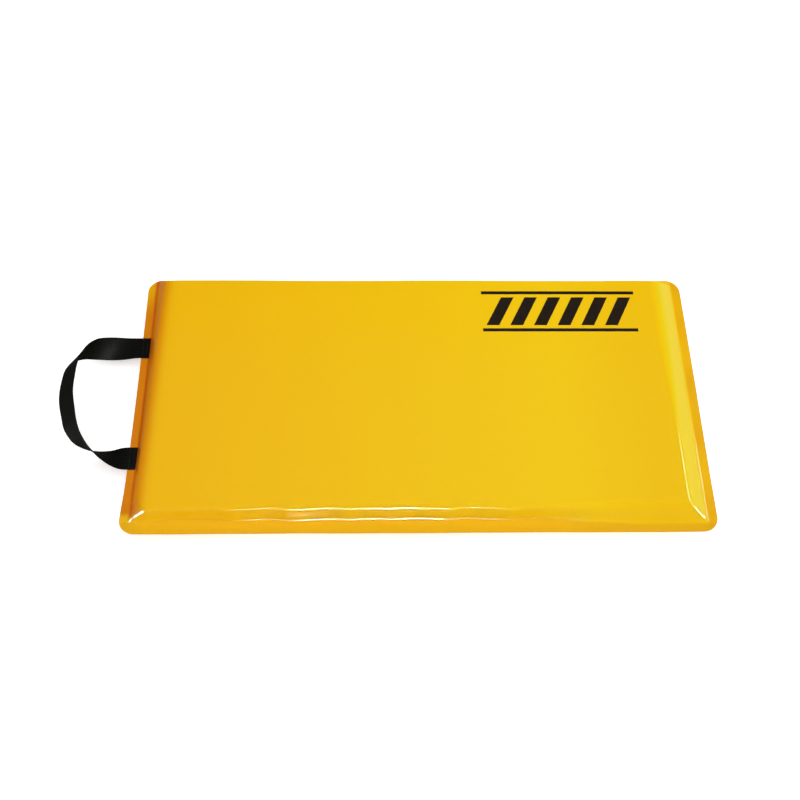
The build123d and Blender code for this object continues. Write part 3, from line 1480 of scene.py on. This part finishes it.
@dataclass
class Studio:
    """Pale floor, soft lamps and the camera."""

    paper: StudioPaper = field(default_factory=StudioPaper)
    floor_half: float = 6000.0
    floor_lines: int = 9
    cove_start: float = 2300.0
    cove_radius: float = 900.0
    cove_height: float = 3500.0
    cove_glow: float = 0.75
    horizon: str = "#9A9A9A"
    zenith: str = "#343434"
    camera_place: tuple[float, float, float] = (-0.0425, -0.475, 0.9483)
    pitch: float = 63.05
    yaw: float = 2.83
    roll: float = 2.42
    lens: float = 44.2
    softboxes: tuple[Softbox, ...] = (
        Softbox("overhead_fill", (0.0, 0.0, 2.4), (3.0, 3.0), 65.0, Reach.SHADE_ONLY),
        Softbox("key_softbox", (4.1, -0.3, 1.9), (2.4, 1.3), 92.0, Reach.SHADE_ONLY),
        Softbox("slope_card", (2.2, 0.95, 0.0), (1.8, 0.9), 2.2, Reach.MIRROR_ONLY),
        Softbox("shoulder_strip", (1.8, 0.5, 1.17), (0.5, 0.25), 9.0, Reach.MIRROR_ONLY),
        Softbox("mitre_strip", (2.05, -0.42, 0.73), (0.5, 0.2), 40.0, Reach.MIRROR_ONLY),
        Softbox("front_fill", (0.0, -3.0, 0.6), (2.0, 1.0), 7.0, Reach.SHADE_ONLY),
        Softbox("front_strip", (-0.1135, -1.177, 1.36), (0.329, 0.14), 190.0, Reach.MIRROR_ONLY),
        Softbox("front_strip_right", (0.1025, -1.177, 1.36), (0.103, 0.14), 24.0, Reach.MIRROR_ONLY),
        Softbox("front_strip_far_right", (0.24, -1.177, 1.36), (0.172, 0.14), 8.0, Reach.MIRROR_ONLY),
        Softbox("front_strip_far_left", (-0.3615, -1.177, 1.36), (0.167, 0.14), 8.0, Reach.MIRROR_ONLY),
        Softbox(
            "corner_strip",
            (-1.36, -1.03, 0.55),
            (0.2, 0.9),
            190.0,
            Reach.MIRROR_ONLY,
            aim=(-0.283, -0.135, 0.02),
        ),
    )

    def floor(self) -> bpy.types.Object:
        """Makes the wide floor under the pad.

        Returns:
            The floor.
        """
        lines = np.linspace(-self.floor_half, self.floor_half, self.floor_lines)
        x, y = np.meshgrid(lines, lines)
        points = np.stack([x, y, np.zeros_like(x)], axis=-1).reshape(-1, 3)
        piece = mesh_piece("studio_floor", points, grid_faces(*x.shape))
        dress(piece, self.paper.material())
        piece.visible_glossy = False
        return piece

    def backdrop(self) -> bpy.types.Object:
        """Makes the paper's round cove behind the floor, which only the camera sees.

        Returns:
            The cove.
        """
        angles = np.linspace(0, 2 * np.pi, 97)[:-1]
        bend = np.linspace(0, np.pi / 2, 13)
        wall = self.cove_start + self.cove_radius
        radius = np.append(self.cove_start + self.cove_radius * np.sin(bend), wall)
        level = np.append(self.cove_radius * (1 - np.cos(bend)), self.cove_height)
        x = radius[:, None] * np.cos(angles)
        y = radius[:, None] * np.sin(angles)
        z = np.repeat(level[:, None], len(angles), axis=1)
        points = np.stack([x, y, z], axis=-1).reshape(-1, 3)
        piece = mesh_piece("studio_backdrop", points, grid_faces(len(level), len(angles), ring=True))
        dress(piece, replace(self.paper, glow=self.cove_glow).material())
        piece.visible_glossy = False
        piece.visible_diffuse = False
        piece.visible_shadow = False
        return piece

    def world(self) -> None:
        """Sets the room: a pale backdrop at the horizon under a dark ceiling."""
        world = bpy.data.worlds.new("studio_room")
        bpy.context.scene.world = world
        world.use_nodes = True
        tree = world.node_tree
        tree.nodes.clear()
        place = add_node(tree, "ShaderNodeTexCoord").outputs["Generated"]
        axes = add_node(tree, "ShaderNodeSeparateXYZ", {"Vector": place})
        sky = add_node(
            tree,
            "ShaderNodeValToRGB",
            {"Fac": axes.outputs["Z"]},
            stops=[(0.0, self.horizon), (0.2, self.horizon), (0.6, self.zenith)],
        )
        back = add_node(tree, "ShaderNodeBackground", {"Color": sky.outputs["Color"], "Strength": 1.0})
        add_node(tree, "ShaderNodeOutputWorld", {"Surface": back.outputs["Background"]})

    def camera(self) -> bpy.types.Object:
        """Makes the camera, looking down at the pad over its front edge.

        Returns:
            The camera.
        """
        pitch, yaw, roll = (math.radians(v) for v in (self.pitch, self.yaw, self.roll))
        level = math.cos(pitch)
        ahead = Vector((math.sin(yaw) * level, math.cos(yaw) * level, -math.sin(pitch)))
        right = Vector((math.cos(yaw), -math.sin(yaw), 0.0))
        above = right.cross(ahead)
        turned_right = right * math.cos(roll) + above * math.sin(roll)
        turned_above = above * math.cos(roll) - right * math.sin(roll)
        axes = Matrix((turned_right, turned_above, -ahead)).transposed().to_4x4()
        data = bpy.data.cameras.new("camera")
        data.lens = self.lens
        data.sensor_width = 36.0
        data.clip_start = 0.01
        camera = bpy.data.objects.new("camera", data)
        bpy.context.scene.collection.objects.link(camera)
        camera.matrix_world = Matrix.Translation(self.camera_place) @ axes
        bpy.context.scene.camera = camera
        return camera

    def build(self) -> list[bpy.types.Object]:
        """Makes the camera, the lamps, the room and the floor.

        Returns:
            Every object that was made, the camera first.
        """
        settings = bpy.context.scene.view_settings
        settings.view_transform = "Standard"
        settings.look = "None"
        self.world()
        return [self.camera(), self.floor(), self.backdrop()] + [box.build() for box in self.softboxes]


def main() -> None:
    """Builds the studio and the pad in order, and reports each piece."""
    logging.basicConfig(level=logging.INFO, format="%(name)s: %(message)s")
    builders: list[Callable[[], Any]] = [
        Studio().build,
        VinylEnvelope().build,
        FoamSlab().build,
        WarningBars().build,
        WebbingHandle().build,
        TackStitches().build,
    ]
    for build in builders:
        made = build()
        for piece in made if isinstance(made, list) else [made]:
            count = len(piece.data.vertices) if piece.type == "MESH" else 0
            log.info("%s: %s, %d points", piece.name, piece.type.lower(), count)


if __name__ == "__main__":
    main()
